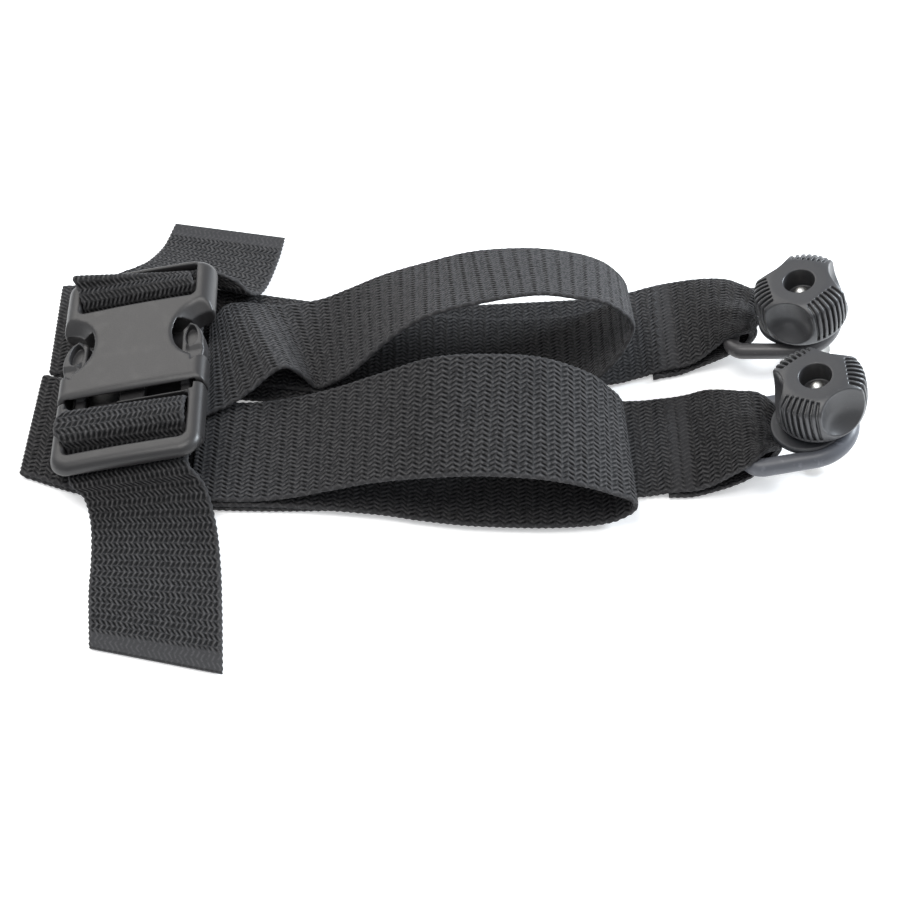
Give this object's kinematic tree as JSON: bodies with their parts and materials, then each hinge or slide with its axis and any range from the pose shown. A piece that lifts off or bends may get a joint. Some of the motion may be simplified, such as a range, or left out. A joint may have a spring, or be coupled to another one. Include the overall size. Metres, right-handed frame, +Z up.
{
  "type": "breathing apparatus",
  "caption": "Waist and chest belt of a breathing apparatus: black webbing straps with a side release buckle, and steel rings with clamp bolts and lobed knobs.",
  "frame": {"origin": "middle of the part's footprint, on the surface that it lies on", "axes": "+X along the straps towards the knobs, +Y from the near strap to the far strap, +Z up"},
  "size_m": [0.3172, 0.231, 0.0537],
  "materials": {
    "webbing": "coarse woven polyester, matte",
    "thread": "matte",
    "buckle_plastic": "fine-grained satin",
    "arm_plastic": "satin",
    "ring_coating": "dark coated steel, satin",
    "eye_plate_paint": "dark coated steel, matte",
    "zinc_steel": "bright zinc plate",
    "knob_plastic": "satin moulded grey-black"
  },
  "bodies": {
    "harness": {"female_body": "buckle_plastic", "near_fold": "webbing", "far_fold": "webbing", "near_sewn_end": "webbing", "near_stitching": "thread", "near_lower_run": "webbing", "near_middle_run": "webbing", "near_arch": "webbing", "far_sewn_end": "webbing", "far_stitching": "thread", "far_lower_run": "webbing", "far_middle_run": "webbing", "far_arch": "webbing", "far_tail": "webbing"},
    "plug": {"plug_frame": "buckle_plastic", "near_tail": "webbing"},
    "arm_left": {"arm_left": "arm_plastic"},
    "arm_right": {"arm_right": "arm_plastic"},
    "near_ring": {"near_ring": "ring_coating", "near_eye_plate": "eye_plate_paint", "near_washer": "zinc_steel"},
    "near_knob": {"near_knob": "knob_plastic", "near_insert": "zinc_steel"},
    "near_bolt": {"near_bolt": "zinc_steel"},
    "far_ring": {"far_ring": "ring_coating", "far_eye_plate": "eye_plate_paint", "far_washer": "zinc_steel"},
    "far_knob": {"far_knob": "knob_plastic", "far_insert": "zinc_steel"},
    "far_bolt": {"far_bolt": "zinc_steel"}
  },
  "joints": [
    {"name": "plug_slide", "type": "slide", "parent": "harness", "child": "plug", "axis": [0.0349, -0.9994, 0], "range_m": [0, 0.004]},
    {"name": "arm_left_flex", "type": "hinge", "parent": "plug", "child": "arm_left", "pos_m": [-0.13771, -0.00434, 0.01553], "axis": [-0.2078, -0.0073, 0.9781], "range_deg": [-12.5, 0]},
    {"name": "arm_right_flex", "type": "hinge", "parent": "plug", "child": "arm_right", "pos_m": [-0.09666, -0.0029, 0.02427], "axis": [-0.2078, -0.0073, 0.9781], "range_deg": [0, 12.5]},
    {"name": "near_ring_swing", "type": "hinge", "parent": "harness", "child": "near_ring", "pos_m": [0.11474, -0.01653, 0.01181], "axis": [0, -1, 0], "range_deg": [0, 70]},
    {"name": "near_knob_turn", "type": "hinge", "parent": "near_ring", "child": "near_knob", "pos_m": [0.14343, -0.01393, 0.0195], "axis": [0.2588, 0, -0.9659], "range_deg": [0, 2160]},
    {"name": "near_bolt_lift", "type": "slide", "parent": "near_ring", "child": "near_bolt", "axis": [-0.2588, 0, 0.9659], "range_m": [0, 0.006]},
    {"name": "far_ring_swing", "type": "hinge", "parent": "harness", "child": "far_ring", "pos_m": [0.11669, 0.04492, 0.01234], "axis": [-0.2337, -0.9703, -0.0626], "range_deg": [0, 70]},
    {"name": "far_knob_turn", "type": "hinge", "parent": "far_ring", "child": "far_knob", "pos_m": [0.14343, 0.03587, 0.0195], "axis": [0.2588, 0, -0.9659], "range_deg": [0, 2160]},
    {"name": "far_bolt_lift", "type": "slide", "parent": "far_ring", "child": "far_bolt", "axis": [-0.2588, 0, 0.9659], "range_m": [0, 0.006]}
  ],
  "couplings": [
    {"joint": "arm_left_flex", "follows": "plug_slide", "rad_per_m": -52.36},
    {"joint": "arm_right_flex", "follows": "plug_slide", "rad_per_m": 52.36},
    {"joint": "near_bolt_lift", "follows": "near_knob_turn", "m_per_rad": 0.00015915},
    {"joint": "far_bolt_lift", "follows": "far_knob_turn", "m_per_rad": 0.00015915}
  ]
}
